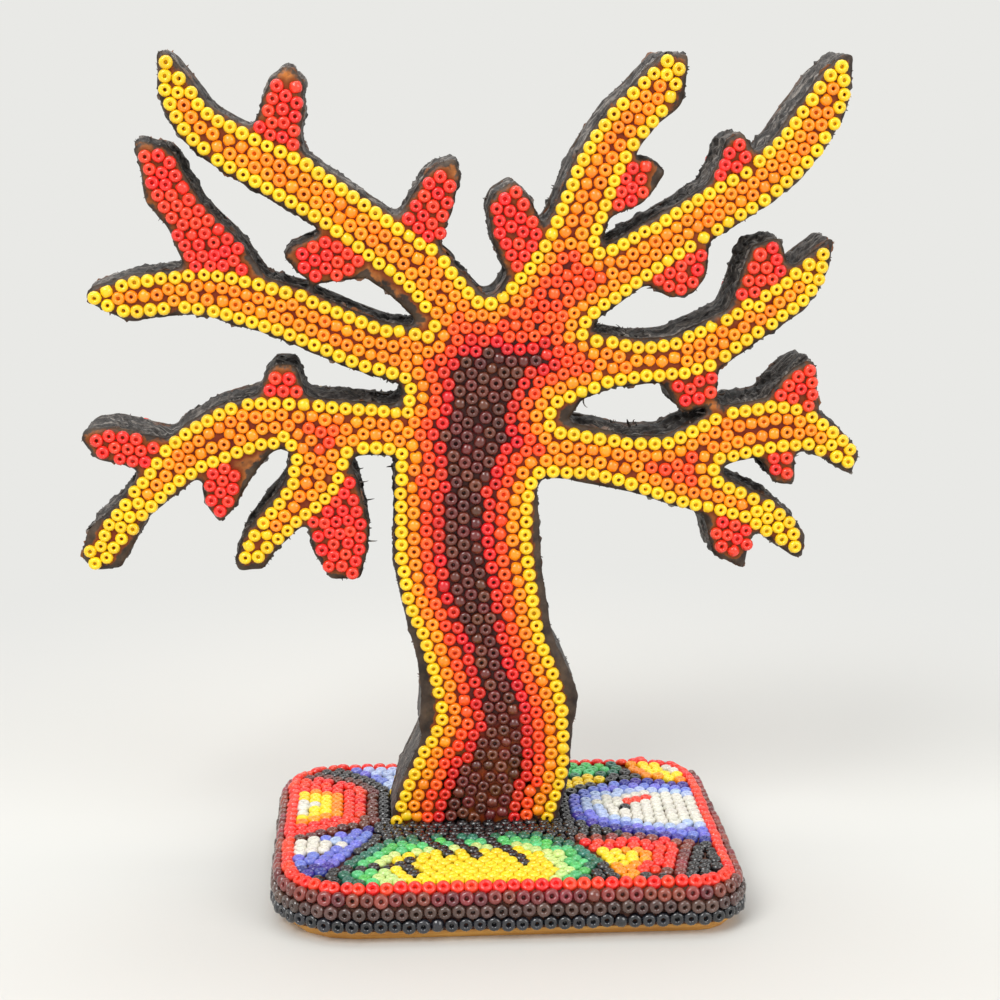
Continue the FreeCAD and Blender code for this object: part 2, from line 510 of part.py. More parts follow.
# plate: wood, wax coat, four courses round the rim
plate = plate_body(0.0, 0.0, foot_chamfer)
save("base_board", [plate.cut(dowel_holes)])
save("fixing_dowels", [dowel(along) for along in dowel_places])
wax = plate_body(wax_coat, rim_foot)
save("base_wax", [wax.cut([plate] + core)])
shell = plate_body(coat, rim_foot).cut(wax)
rim_names = ("black", "brown", "oxblood")
edge_low = rim_foot + len(rim_names) * rim_course - rim_tuck
for course, name in enumerate(rim_names):
    low = rim_foot + course * rim_course
    save("rim_beads_" + name, [shell.common(slab(low, min(low + rim_course, edge_low)))])
top_field = plate_outline(-top_inset)
edge = shell.common(slab(edge_low, 2 * bead_top))
save("rim_beads_red", [edge.cut(column(top_field, 0, 2 * bead_top))])

# plate: motifs round the foot of the tree, black ground in what is left
foot = sawn.common(above(wax_top)).cut(above(bead_top)).BoundBox
near, far = wood_near - wax_coat, wood_far + wax_coat
footprint = polygon(((foot.XMin, near), (foot.XMax, near), (foot.XMax, far), (foot.XMin, far)))
surround = faceted(footprint.makeOffset2D(bead_diameter)).cut(footprint)
free = top_field.cut([footprint, surround])
laid = {}
for name, outline in motifs:
    motif = polygon([(x * plate_width / motif_width, y * plate_depth / motif_depth)
                     for x, y in outline])
    laid.setdefault(name, []).extend(free.common(motif).Faces)
    free = free.cut(motif)
laid["ground_black"] = merged([surround] + free.Faces).Faces
for name, faces in laid.items():
    beds = [column(face, wax_top, bead_top) for face in faces if face.Area > smallest_patch]
    save("base_beads_" + name, beds)
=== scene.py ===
import math

import bmesh
import bpy
import numpy as np
from mathutils import Matrix, Quaternion, Vector, geometry, kdtree, noise
from mathutils.bvhtree import BVHTree


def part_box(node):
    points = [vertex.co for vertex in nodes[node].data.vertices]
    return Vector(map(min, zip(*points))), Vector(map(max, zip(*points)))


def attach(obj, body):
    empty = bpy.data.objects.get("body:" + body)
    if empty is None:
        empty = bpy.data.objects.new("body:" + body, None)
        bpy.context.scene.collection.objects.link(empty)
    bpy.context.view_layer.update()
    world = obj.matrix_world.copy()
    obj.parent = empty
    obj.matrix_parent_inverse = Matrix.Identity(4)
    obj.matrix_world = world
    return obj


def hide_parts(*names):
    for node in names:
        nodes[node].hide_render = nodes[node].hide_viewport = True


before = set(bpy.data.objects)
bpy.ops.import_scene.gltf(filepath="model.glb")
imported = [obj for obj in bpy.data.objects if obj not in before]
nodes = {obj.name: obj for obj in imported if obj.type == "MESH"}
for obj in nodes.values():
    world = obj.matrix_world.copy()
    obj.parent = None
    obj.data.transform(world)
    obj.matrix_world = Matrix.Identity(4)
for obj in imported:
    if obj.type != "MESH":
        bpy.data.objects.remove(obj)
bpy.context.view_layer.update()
mm = 0.001


# ---------------------------------------------------------------- seed bead
# A short length of drawn glass tube, tumbled round in the heat.  Each is pressed into
# the wax for about half its height, most of them with the hole upwards.  A floor of the
# bead's own glass closes the hole a little way down, where the wax would stand: painted
# light, for the light that the glass lets into the hole.
bead_wide = 2.2 * mm
bead_flats = 12
standing = ((0, -0.16), (0.31, -0.16), (0.32, 0.50), (0.45, 0.70), (0.72, 0.77),
            (1.00, 0.60), (1.18, 0.12), (1.06, -0.42), (0, -0.42))
on_its_side = ((0.26, -0.96), (0.64, -0.94), (0.95, -0.72), (1.12, 0.00), (0.95, 0.72),
               (0.64, 0.94), (0.26, 0.96))
usual_lean = 4.5            # degrees
side_lean = 9               # degrees that a bead on its side is off the level
uneven_sink = 0.05          # millimetres
side_sink = 0.32 * mm       # a bead on its side is pressed in further
tall_beads = (0.92, 1.08)   # beads of one width are cut to different heights


def turned(name, outline):
    """A ring turned from its outline, radius and height, in millimetres."""
    shape = bmesh.new()
    profile = [shape.verts.new((radius * mm, 0, height * mm)) for radius, height in outline]
    sides = [shape.edges.new(pair) for pair in zip(profile, profile[1:])]
    if outline[0][0]:
        sides.append(shape.edges.new((profile[-1], profile[0])))
    bmesh.ops.spin(shape, geom=profile + sides, cent=(0, 0, 0), axis=(0, 0, 1),
                   angle=2 * math.pi, steps=bead_flats, use_merge=True)
    bmesh.ops.remove_doubles(shape, verts=shape.verts, dist=0.001 * mm)
    bmesh.ops.recalc_face_normals(shape, faces=shape.faces)
    for face in shape.faces:
        face.smooth = True
    ring = bpy.data.meshes.new(name)
    shape.to_mesh(ring)
    shape.free()
    rest = np.zeros(len(ring.vertices) * 3, np.float32)
    ring.vertices.foreach_get("co", rest)
    return ring, rest


upright_bead = turned("seed_bead", standing)
side_bead = turned("seed_bead_on_its_side", on_its_side)


def set_down(mesh):
    """A mesh as a piece of the scene, under its own name."""
    piece = bpy.data.objects.new(mesh.name, mesh)
    bpy.context.scene.collection.objects.link(piece)
    return piece


def piece_of(shape, name):
    """A finished shape as a piece of the scene."""
    mesh = bpy.data.meshes.new(name)
    shape.to_mesh(mesh)
    shape.free()
    return set_down(mesh)


def marked(mesh, name, values):
    """Gives every corner of a mesh a value that its material reads by name."""
    mesh.attributes.new(name, "FLOAT", "POINT").data.foreach_set("value", values)


def beads(name, places, chance, lying):
    """One mesh of rings: places holds each bead's middle, outward direction and width."""
    built = bmesh.new()
    corners = []
    for middle, outward, width in places:
        outward = Vector(outward)
        lean = Quaternion(Vector(chance.normal(size=3)).normalized(),
                          math.radians(abs(chance.normal(0, usual_lean))))
        sunk = chance.normal(0, uneven_sink) * mm
        aim = lean @ outward.to_track_quat("Z", "Y")
        tall = width * chance.uniform(*tall_beads)
        ring, rest = upright_bead
        if chance.random() < lying:
            ring, rest = side_bead
            turn = Quaternion((0, 0, 1), chance.uniform(0, 2 * math.pi))
            fallen = math.radians(chance.normal(90, side_lean))
            aim = aim @ turn @ Quaternion((1, 0, 0), fallen)
            sunk += side_sink
        spot = Matrix.Translation(Vector(middle) - outward * sunk)
        size = Matrix.Diagonal((width, width, tall, 1))
        ring.transform(spot @ aim.to_matrix().to_4x4() @ size)
        built.from_mesh(ring)
        ring.vertices.foreach_set("co", rest)
        corners.append(len(ring.vertices))
    piece = piece_of(built, name)
    marked(piece.data, "cast", np.repeat(chance.random(len(places)), corners))
    return piece


# ---------------------------------------------------------------- bead glass
# Opaque and half-opaque coloured glass.  Beads of one colour come from several
# rods, so that each bead differs a little in shade, and all have a soft fired gloss.
def shade(red, green, blue):
    """Linear colour of an sRGB shade from 0 to 255."""
    return [((part / 255 + 0.055) / 1.055) ** 2.4 if part > 10 else part / 3295
            for part in (red, green, blue)] + [1.0]


def feed(node, inputs):
    """Links or sets inputs of a shader node, each under its name or number."""
    for key, value in inputs.items():
        if hasattr(value, "links"):
            node.id_data.links.new(value, node.inputs[key])
        else:
            node.inputs[key].default_value = value


def wired(tree):
    """A short way to add a node to a tree, with its inputs and settings."""
    def add(kind, inputs=(), **settings):
        node = tree.nodes.new(kind)
        for key, value in settings.items():
            setattr(node, key, value)
        feed(node, dict(inputs))
        return node
    return add


def material_of(name):
    """A new material, its way to add nodes, and its surface shader."""
    material = bpy.data.materials.new(name)
    material.use_nodes = True
    return material, wired(material.node_tree), material.node_tree.nodes["Principled BSDF"]


def node_group(name, inputs, outputs):
    """A node group with its inputs and outputs, and its way to add nodes."""
    group = bpy.data.node_groups.new(name, "ShaderNodeTree")
    for way, sockets in (("INPUT", inputs), ("OUTPUT", outputs)):
        for word, kind in sockets.items():
            group.interface.new_socket(word, in_out=way, socket_type="NodeSocket" + kind)
    return group, wired(group)


def maths(add, operation, *values):
    """One step of reckoning with values or sockets."""
    return add("ShaderNodeMath", dict(enumerate(values)), operation=operation).outputs[0]


def spread(add, value, low, high, at_low=0.0, at_high=1.0, **settings):
    """What lies between low and high, spread out between two other values."""
    return add("ShaderNodeMapRange", {"Value": value, "From Min": low, "From Max": high,
                                      "To Min": at_low, "To Max": at_high},
               **settings).outputs[0]


def mottle(add, where, scale, detail, roughness=0.5):
    """Soft uneven patches over a surface."""
    return add("ShaderNodeTexNoise", {"Vector": where, "Scale": scale, "Detail": detail,
                                      "Roughness": roughness}).outputs["Fac"]


glass_rods, add = node_group("glass_rods",
                             {"Shade": "Color", "Difference": "Float", "Turn": "Float"},
                             {"Shade": "Color", "Fired": "Float"})
given = add("NodeGroupInput").outputs
cast = add("ShaderNodeAttribute", attribute_name="cast").outputs["Fac"]
value = maths(add, "MULTIPLY_ADD", maths(add, "SUBTRACT", cast, 0.5), given["Difference"], 1.0)
loose = maths(add, "FRACT", maths(add, "MULTIPLY", cast, 7.3))
hue = maths(add, "MULTIPLY_ADD", maths(add, "SUBTRACT", loose, 0.5), given["Turn"], 0.5)
rod = add("ShaderNodeHueSaturation", {"Hue": hue, "Value": value, "Color": given["Shade"]})
cloud = mottle(add, add("ShaderNodeTexCoord").outputs["Object"], 900.0, 2.0)
pale = spread(add, cloud, 0.3, 0.7, 0.9, 1.08)
mottled = add("ShaderNodeHueSaturation", {"Value": pale, "Color": rod.outputs["Color"]})
fired = spread(add, cloud, 0.3, 0.7, 0.16, 0.34)
add("NodeGroupOutput", {"Shade": mottled.outputs["Color"], "Fired": fired})


def glass(name, colour, difference=0.22, turn=0.02, coat=0.25):
    """Fired glass of one colour; coat is how wet its gloss looks."""
    material, add, body = material_of("glass_" + name)
    rods = add("ShaderNodeGroup", {"Shade": colour, "Difference": difference, "Turn": turn},
               node_tree=glass_rods)
    feed(body, {"Base Color": rods.outputs["Shade"], "Roughness": rods.outputs["Fired"],
                "Coat Weight": coat, "Coat Roughness": 0.12, "Specular IOR Level": 0.5})
    return material


yellow = glass("yellow", shade(254, 208, 26), 0.12, 0.01)
# The plate's beads are of a paler, more lemon yellow, painted lighter than the tree's yellow to
# make up for the less light they get there.
plate_yellow_painted_lighter = glass("plate_yellow_painted_lighter", shade(255, 222, 44), 0.12, 0.012)
orange = glass("orange", shade(255, 150, 18), 0.16, 0.018)
vermilion = glass("vermilion", shade(252, 86, 30), 0.14, 0.012)
red = glass("red", shade(224, 40, 28), 0.25, 0.008, 0.4)
brown = glass("brown", shade(102, 44, 32), 0.7, 0.03, 0.6)
coral = glass("coral", shade(244, 56, 36), 0.16, 0.008, 0.35)
black = glass("black", shade(26, 24, 26), 0.8, 0.1, 0.7)
oxblood = glass("oxblood", shade(126, 46, 40), 0.8, 0.03, 0.8)
white = glass("white", shade(226, 222, 208), 0.1, 0.04)
light_blue = glass("light_blue", shade(184, 200, 234), 0.16, 0.03)
periwinkle = glass("periwinkle", shade(118, 124, 214), 0.24, 0.03)
dark_blue = glass("dark_blue", shade(58, 52, 146), 0.4, 0.03, 0.4)
pale_green = glass("pale_green", shade(204, 230, 140), 0.14, 0.03)
green = glass("green", shade(92, 198, 112), 0.3, 0.04)
dark_green = glass("dark_green", shade(42, 114, 88), 0.6, 0.05, 0.5)
umber = glass("umber", shade(78, 52, 44), 0.8, 0.03, 0.8)
blue_black = glass("blue_black", shade(28, 29, 35), 0.9, 0.08, 0.8)


# ---------------------------------------------------------------- setting out
# The maker works inwards from the edge: a row of beads along it, the next row
# nested in the gaps of the first, and so on; what is left in the middle is filled.
lattice = 0.25 * mm
row_pitch = 0.92 * bead_wide
least_gap = 0.96 * bead_wide
fill_gaps = (0.67 * bead_wide, 0.73 * bead_wide)
row_band = 0.7 * lattice            # how closely a row keeps its depth
fill_from = 0.45 * bead_wide        # least depth of a bead that fills a gap
pressed_gap = 0.97 * bead_wide      # beads closer than this push each other apart
edge_gap = 0.48 * bead_wide         # least from a bead's middle to the edge of its field
settling, pushing = 0.8, 0.3        # share of each way that a bead is moved in one round
depth_hold = ((0.5, 0.8, 1.4, 3.3, 4.2), (1.0, 0.5, 0.3, 0.2, 0.0))     # in bead widths
bead_widths = (0.9, 1.03)           # narrow beads go where there is little room


def surveyed(names, outward):
    """Lattice over the outer face of some bead courses: its points, and the course at each."""
    outward = Vector(outward)
    flat = [axis for axis in range(3) if not outward[axis]]
    corners, faces, owners = [], [], []
    for index, name in enumerate(names):
        mesh = nodes[name].data
        start = len(corners)
        corners += [vertex.co for vertex in mesh.vertices]
        faces += [[start + corner for corner in face.vertices] for face in mesh.polygons]
        owners += [index] * len(mesh.polygons)
    courses = BVHTree.FromPolygons(corners, faces)
    spread = np.array(corners)[:, flat]
    margin = 3 * lattice
    across, up = [np.arange(low - margin, high + margin, lattice)
                  for low, high in zip(spread.min(0), spread.max(0))]
    course = np.full((len(across), len(up)), -1)
    eye = outward * 0.5
    for i, first in enumerate(across):
        eye[flat[0]] = first
        for j, second in enumerate(up):
            eye[flat[1]] = second
            face = courses.ray_cast(eye, -outward)[2]
            if face is not None:
                course[i, j] = owners[face]
    points = np.stack(np.meshgrid(across, up, indexing="ij"), -1)
    return points, course


def finder(spots):
    """Finds the nearest of some flat spots: its place, its number and how far it is."""
    tree = kdtree.KDTree(len(spots))
    for index, spot in enumerate(spots):
        tree.insert((spot[0], spot[1], 0), index)
    tree.balance()
    return tree


def region(points, inside, outside, floor=-1.0):
    """Points inside, a finder of the nearest point of the edge above a floor, and the depths."""
    beside = np.zeros_like(inside)
    beside[1:] |= inside[:-1]
    beside[:-1] |= inside[1:]
    beside[:, 1:] |= inside[:, :-1]
    beside[:, :-1] |= inside[:, 1:]
    edge = finder(points[beside & outside & (points[..., 1] > floor)])
    held = points[inside]
    depth = np.array([edge.find((first, second, 0))[2] for first, second in held])
    return held, edge, depth


def room_left(spots, laid):
    """How far each spot is from the nearest bead laid."""
    room = np.full(len(spots), np.inf)
    for bead in laid:
        room = np.minimum(room, np.hypot(*(spots - bead[:2]).T))
    return room


def strung(band, here, depth, taken):
    """Beads set one after another along a band of points, each next to the one before."""
    line = []
    room = room_left(band, taken)
    while (room >= least_gap).any():
        free = np.flatnonzero(room >= least_gap)
        here = band[free[np.argmin(((band[free] - here) ** 2).sum(1))]]
        line.append((*here, depth))
        room = np.minimum(room, np.hypot(*(band - here).T))
    return line


def rows(place, taken, gaps=fill_gaps):
    """Bead middles with their depths, row by row from the edge inwards, then the filling."""
    held, edge, depth = place
    laid = []
    here = held[np.argmin(held[:, 1])]
    wanted = bead_wide / 2
    while wanted < depth.max() + row_pitch / 2:
        band = held[np.abs(depth - wanted) < row_band]
        line = strung(band, here, wanted, taken + laid)
        if line:
            here = np.array(line[-1][:2])
        laid += line
        wanted += row_pitch
    inner = depth > fill_from
    spots, deep = held[inner], depth[inner]
    for gap in gaps:
        room = room_left(spots, taken + laid)
        while len(room) and room.max() >= gap:
            widest = room.argmax()
            laid.append((*spots[widest], deep[widest]))
            room = np.minimum(room, np.hypot(*(spots - spots[widest]).T))
        laid = evened(laid, taken, held, edge)
    return laid


def evened(laid, taken, held, edge, rounds=14):
    """The beads shifted to the middle of the room each has; the outer rows keep their depth."""
    spots = np.array([bead[:2] for bead in laid])
    wanted = np.array([bead[2] for bead in laid])
    fixed = np.array([bead[:2] for bead in taken]).reshape(-1, 2)
    hold = np.interp(wanted / bead_wide, *depth_hold)
    for turn in range(rounds):
        nearby = finder(np.vstack([spots, fixed]))
        sample = held[turn % 3::3]
        owner = np.array([nearby.find((*point, 0))[1] for point in sample])
        own = owner < len(spots)
        count = np.bincount(owner[own], minlength=len(spots))
        middle = np.stack([np.bincount(owner[own], sample[own, axis], len(spots))
                           for axis in (0, 1)], 1)
        middle /= np.maximum(count, 1)[:, None]
        spots = np.where(count[:, None] > 0, spots + (middle - spots) * settling, spots)
        for index, spot in enumerate(spots):
            nearest, number, depth = edge.find((*spot, 0))
            inwards = (spot - np.array(nearest[:2])) / max(depth, 1e-9)
            away = max((wanted[index] - depth) * hold[index], edge_gap - depth)
            spots[index] = spot + inwards * away
        for push in range(3):
            everyone = np.vstack([spots, fixed])
            apart = np.hypot(*(spots[:, None] - everyone[None]).transpose(2, 0, 1))
            one, two = np.nonzero((apart < pressed_gap) & (apart > 0))
            gap = spots[one] - everyone[two]
            length = np.maximum(np.hypot(*gap.T), 1e-9)
            part = (pressed_gap - length) / length * pushing
            move = np.zeros_like(spots)
            np.add.at(move, one, gap * part[:, None])
            spots = spots + move
    return [(*spot, depth) for spot, depth in zip(spots, wanted)]


def sorted_out(points, course, names, laid, everyone):
    """Beads by the course they lie on: name to a list of places in the plane and widths."""
    low, found = points[0, 0], {name: [] for name in names}
    middles = np.array([bead[:2] for bead in everyone])
    on = points[course >= 0]
    kinds = course[course >= 0]
    for bead in laid:
        cell = np.round((np.array(bead[:2]) - low) / lattice).astype(int)
        cell = np.clip(cell, 0, np.array(course.shape) - 1)
        kind = course[tuple(cell)]
        if kind < 0:
            kind = kinds[((on - bead[:2]) ** 2).sum(1).argmin()]
        apart = np.sort(np.hypot(*(middles - bead[:2]).T))[1]
        width = min(max(apart / bead_wide, bead_widths[0]), bead_widths[1])
        found[names[kind]].append((bead[0], bead[1], width))
    return found


# ---------------------------------------------------------------- beads of the tree
# Nested courses on both faces: yellow along the edge, then orange, vermilion, red and
# dark brown in the trunk.  The twigs are set afterwards with coral beads.
tree_courses = {"yellow": yellow, "orange": orange, "vermilion": vermilion, "red": red,
                "brown": brown}
twig_course = len(tree_courses)     # the twigs come after the tree's own courses
lying_beads = {"yellow": 0.05, "orange": 0.24, "vermilion": 0.1, "red": 0.05, "brown": 0.22,
               "coral": 0.04}       # share of each colour that lies on its side
twig_gaps = (0.63 * bead_wide, 0.69 * bead_wide)    # tighter, to fill the narrow tips
bead_sink = 0.75 * mm               # bead middle below the top of the course
open_foot = 3 * lattice             # the foot is no edge: the rows run down to the plate
# At the waist of the trunk the rows keep off its edge, and a margin of wax lies bare.
waist_heights = (20 * mm, 27 * mm, 40 * mm, 46 * mm)
waist_drawn_in = (0.0, 0.9 * mm, 0.9 * mm, 0.0)
heart_top = 88 * mm                 # the dark heart ends square, under one row of red
heart_cap = 1.0 * bead_wide
tree_beads = {}                     # where the beads lie on each face, for the wax
twig_spots = {}                     # and where those of the twigs lie


def bare_margin(heights):
    """How far the rows keep off the edge at these heights."""
    return np.interp(heights, waist_heights, waist_drawn_in)


for face_name, side in (("front", -1), ("back", 1)):
    chance = np.random.default_rng(31 + side)
    names = ["tree_beads_%s_%s" % (kind, face_name) for kind in tree_courses]
    twig_name = "twig_beads_coral_" + face_name
    names.append(twig_name)
    points, course = surveyed(names, (0, side, 0))
    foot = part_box(names[0])[0].z + open_foot
    field = (course >= 0) & (course < twig_course)
    held, edge, depth = region(points, field, ~field, foot)
    beaded = field.copy()
    beaded[field] = depth > bare_margin(held[:, 1])
    beds = region(points, beaded, ~beaded, foot)
    row_number = np.clip((beds[2] - bead_wide / 2) / row_pitch + 0.5, 0, twig_course - 1)
    at_waist = bare_margin(beds[0][:, 1]) > 0
    course[beaded] = np.where(at_waist, row_number.astype(int), course[beaded])
    laid = rows(beds, [])
    pads = course == twig_course
    twig_beads = rows(region(points, pads, course < 0), laid, twig_gaps)
    everyone = laid + twig_beads
    found = sorted_out(points, np.where(field, course, -1), names, laid, everyone)
    found[twig_name] = sorted_out(points, np.where(pads, course, -1), names, twig_beads,
                                  everyone)[twig_name]
    vermilion_name, red_name, brown_name = names[2:5]
    for bead in [bead for bead in found[brown_name] + found[red_name] if bead[1] > heart_top]:
        was = brown_name if bead in found[brown_name] else red_name
        now = red_name if bead[1] < heart_top + heart_cap else vermilion_name
        found[was].remove(bead)
        found[now].append(bead)
    tree_beads[side] = everyone
    twig_spots[side] = twig_beads
    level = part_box(names[0])[0 if side < 0 else 1].y - side * bead_sink
    for name in names:
        places = [((first, level, second), (0, side, 0), width)
                  for first, second, width in found[name]]
        kind = name.split("_")[2]
        piece = beads("beads_" + name, places, chance, lying_beads[kind])
        piece.data.materials.append(tree_courses.get(kind, coral))
        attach(piece, "root")
        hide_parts(name)


# ---------------------------------------------------------------- beads on the plate
# Traditional motifs, each set from its outline inwards: sunburst, leaf, head, fan and
# patches, and at last the black ground round them and round the foot of the trunk.
motifs = {
    "sun": {"sun_outline": black, "sun_border": brown, "sun_red": coral,
            "sun_orange": orange, "sun_yellow": plate_yellow_painted_lighter, "sun_white": white},
    "head": {"head_dark_blue": dark_blue, "head_periwinkle": periwinkle,
             "head_white": white, "eye_bead": black, "mouth_dash": coral},
    "patch": {"patch_dark_blue": dark_blue, "patch_light_blue": periwinkle,
              "patch_white": white},
    "leaf": {"leaf_dark_green": dark_green, "leaf_green": green, "leaf_pale": pale_green,
             "leaf_yellow": plate_yellow_painted_lighter, "leaf_lines": black},
    "fan": {"fan_border": oxblood, "fan_red": coral, "fan_orange": orange,
            "fan_yellow": plate_yellow_painted_lighter},
    "corner": {"corner_orange": orange, "corner_yellow": plate_yellow_painted_lighter, "corner_white": white},
    "bush": {"bush_dark_green": dark_green, "bush_green": green, "strip_yellow": plate_yellow_painted_lighter},
    "sky": {"patch_back_blue": periwinkle, "patch_back_white": light_blue},
    "ground": {"ground_black": black},
}
# Glasses that differ only in shade count as one colour.
stroke_middle = 0.6 * mm            # from a leaf stroke's edge to the middle of its beads
lying_on_plate = 0.06


chance = np.random.default_rng(77)
patch_glass = {patch: colour for motif in motifs.values() for patch, colour in motif.items()}
patches = list(patch_glass)
points, course = surveyed(["base_beads_" + patch for patch in patches], (0, 0, 1))

# The thin dark strokes of the leaf are strung first, and the other beads set round them.
drawn = course == patches.index("leaf_lines")
held, edge, depth = region(points, drawn, ~drawn)
laid = strung(held[depth > stroke_middle], held[0], stroke_middle, [])
for motif in motifs.values():
    inside = np.isin(course, [patches.index(patch) for patch in motif])
    laid += rows(region(points, inside, ~inside), laid)
found = sorted_out(points, course, patches, laid, laid)

# Where two colours meet, the inner one's beads nearest to the other, within so many bead
# widths of it, are of a shade between the two.
shaded = (("head_white", ("head_periwinkle",), 1.5, light_blue),
          ("patch_dark_blue", ("patch_white", "patch_light_blue"), 1.35, periwinkle),
          ("patch_white", ("patch_light_blue", "patch_dark_blue"), 0.93, light_blue),
          ("corner_orange", ("corner_yellow",), 1.1, plate_yellow_painted_lighter))
as_set = dict(found)
for inner, outers, reach, colour in shaded:
    border = np.array([bead[:2] for outer in outers for bead in as_set[outer]])
    near = [bead for bead in found[inner]
            if np.hypot(*(border - bead[:2]).T).min() < reach * bead_wide]
    found[inner] = [bead for bead in found[inner] if bead not in near]
    found[inner + "_edge"] = near
    patch_glass[inner + "_edge"] = colour
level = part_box("base_beads_ground_black")[1].z - bead_sink
for patch, spots in found.items():
    places = [((first, second, level), (0, 0, 1), width) for first, second, width in spots]
    piece = beads("beads_base_beads_" + patch, places, chance, lying_on_plate)
    piece.data.materials.append(patch_glass[patch])
    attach(piece, "root")
    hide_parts("base_beads_" + patch.removesuffix("_edge"))


# ---------------------------------------------------------------- beads of the rim
# Four rows round the plate: black, brown and oxblood up its side, and a red row that
# lies over the rounded upper edge.  Holes face outwards.
edge_round = 2.0 * mm
coat_out = 1.5 * mm                       # wood to the outside of the beads
plate = nodes["base_board"].data
plan = [plate.vertices[i].co.xy for i in
        geometry.convex_hull_2d([vertex.co.xy for vertex in plate.vertices])]
plate_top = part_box("base_board")[1].z
spring = plate_top - edge_round
side_out = coat_out - bead_sink           # bead middles off the plate's side
curl = edge_round + side_out              # and off the centre of its rounded edge
rim_black, rim_brown = [sum(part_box("rim_beads_" + name), Vector()).z / 2
                        for name in ("black", "brown")]
rise = row_pitch / curl
first_turn = (rim_brown + row_pitch - spring) / curl
# Height of each row on the side, or its turn up over the edge, and how its holes tilt.
rim_rows = (("black", blue_black, rim_black, 0.0, 0.0), ("brown", umber, rim_brown, 0.0, 0.0),
            ("oxblood", oxblood, None, first_turn, 0.3),
            ("red", coral, None, first_turn + rise, 0.9))
corner_turns = (0.0, 0.25, 0.5, 0.75, 1.0)
sway_length, sway_height = 9 * mm, 0.22 * mm    # the rows wander a little up and down
uneven_height = 0.08                            # millimetres, bead by bead
rim_widths = (0.97, 1.07)
lying_on_rim = 0.04


def round_the_plate(out, shift):
    """Points and outward directions at even steps round the plate, out from its side."""
    walk = []
    for index, corner in enumerate(plan):
        before, after = plan[index - 1], plan[(index + 1) % len(plan)]
        ways = [Vector((run.y, -run.x)).normalized() for run in (corner - before, after - corner)]
        for share in corner_turns:
            way = ways[0].lerp(ways[1], share).normalized()
            walk.append((corner + way * out, way))
    legs = [(walk[i][0] - walk[i - 1][0]).length for i in range(len(walk))]
    length = sum(legs)
    count = round(length / bead_wide)
    steps, done, leg = [], 0.0, 0
    for number in range(count):
        along = length * (number + shift) / count
        while done + legs[leg] < along:
            done += legs[leg]
            leg += 1
        share = (along - done) / max(legs[leg], 1e-9)
        start, end = walk[leg - 1], walk[leg]
        steps.append((start[0].lerp(end[0], share), start[1].lerp(end[1], share).normalized()))
    return steps


chance = np.random.default_rng(5)
for number, (name, colour, height, turn, tilt) in enumerate(rim_rows):
    out = side_out
    if height is None:
        out = curl * math.cos(turn) - edge_round
        height = spring + curl * math.sin(turn)
    places = []
    for spot, way in round_the_plate(out, number % 2 / 2):
        sway = noise.noise(Vector((spot.x, spot.y, number * 0.01)) / sway_length) * sway_height
        outward = Vector((way.x * math.cos(tilt), way.y * math.cos(tilt), math.sin(tilt)))
        up = Vector((-way.x * math.sin(turn), -way.y * math.sin(turn), math.cos(turn)))
        off_line = sway + chance.normal(0, uneven_height) * mm
        places.append((Vector((spot.x, spot.y, height)) + up * off_line, outward,
                       chance.uniform(*rim_widths)))
    piece = beads("beads_rim_" + name, places, chance, lying_on_rim)
    piece.data.materials.append(colour)
    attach(piece, "root")
    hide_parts("rim_beads_" + name)


# ---------------------------------------------------------------- tree board
# One board, sawn and whittled round the drawing and blackened at the sides by smoke,
# wax and handling.  The knife left facets and torn fibres along the grain.
outline_step = 0.5 * mm
board_layers = 22
# Unevenness is given in millimetres, as waves: how many to a millimetre, and how high.
outline_waves = ((1 / 3.1, 0.22), (1 / 0.9, 0.12))
knife_facets = ((Vector((0.2, 0.24, 0.2)), 1.5),)   # longer along the board than through it
saw_marks = ((Vector((0.4, 1.5, 0.4)), 0.3),)
chips = ((0.7, 1.3),)
shreds = ((1.4, 0.4), (3.1, 0.12))
crumbling = ((0.08, 1.0),)
breaks = ((1.1, 0.7), (2.4, 0.45))
bowing = ((1.3, 0.3),)
facet_top, chip_top = 0.35, 0.325
crumbly_start, crumbly_share = 0.1, 2.2
whittled_off = 0.15
most_proud = 0.45                   # no splinter of the sides stands out further
torn_margin, least_torn = 1.4, 0.25     # fibres are torn most next to the two faces
facet_margin, bowing_margin = 1.5, 1.2
trunk_top, branches_from = 40, 56   # the trunk's sides are smoother than the branches'
trunk_share = 0.3
flat_foot = 0.2 * mm                # the sawn foot stays flat on the plate


def uneven(spot, waves, start=(0, 0, 0)):
    """Unevenness at a spot, in millimetres, summed from waves."""
    return sum(noise.noise(spot * fineness + Vector(start)) * height
               for fineness, height in waves)


def outlines(node, side):
    """Closed runs of (x, z) round the outer face of a board and round its gaps."""
    shape = bmesh.new()
    shape.from_mesh(nodes[node].data)
    bmesh.ops.remove_doubles(shape, verts=shape.verts, dist=0.01 * mm)
    others = [face for face in shape.faces if face.normal.y * side < 0.9]
    bmesh.ops.delete(shape, geom=others, context="FACES")
    shape.edges.index_update()
    used, found_runs = set(), []
    for edge in [edge for edge in shape.edges if edge.is_boundary]:
        if edge.index in used:
            continue
        used.add(edge.index)
        run = list(edge.verts)
        while True:
            ahead = [nearby for nearby in run[-1].link_edges
                     if nearby.is_boundary and nearby.index not in used]
            if not ahead:
                break
            used.add(ahead[0].index)
            run.append(ahead[0].other_vert(run[-1]))
        found_runs.append([Vector((vertex.co.x, vertex.co.z)) for vertex in run[:-1]])
    shape.free()
    return found_runs


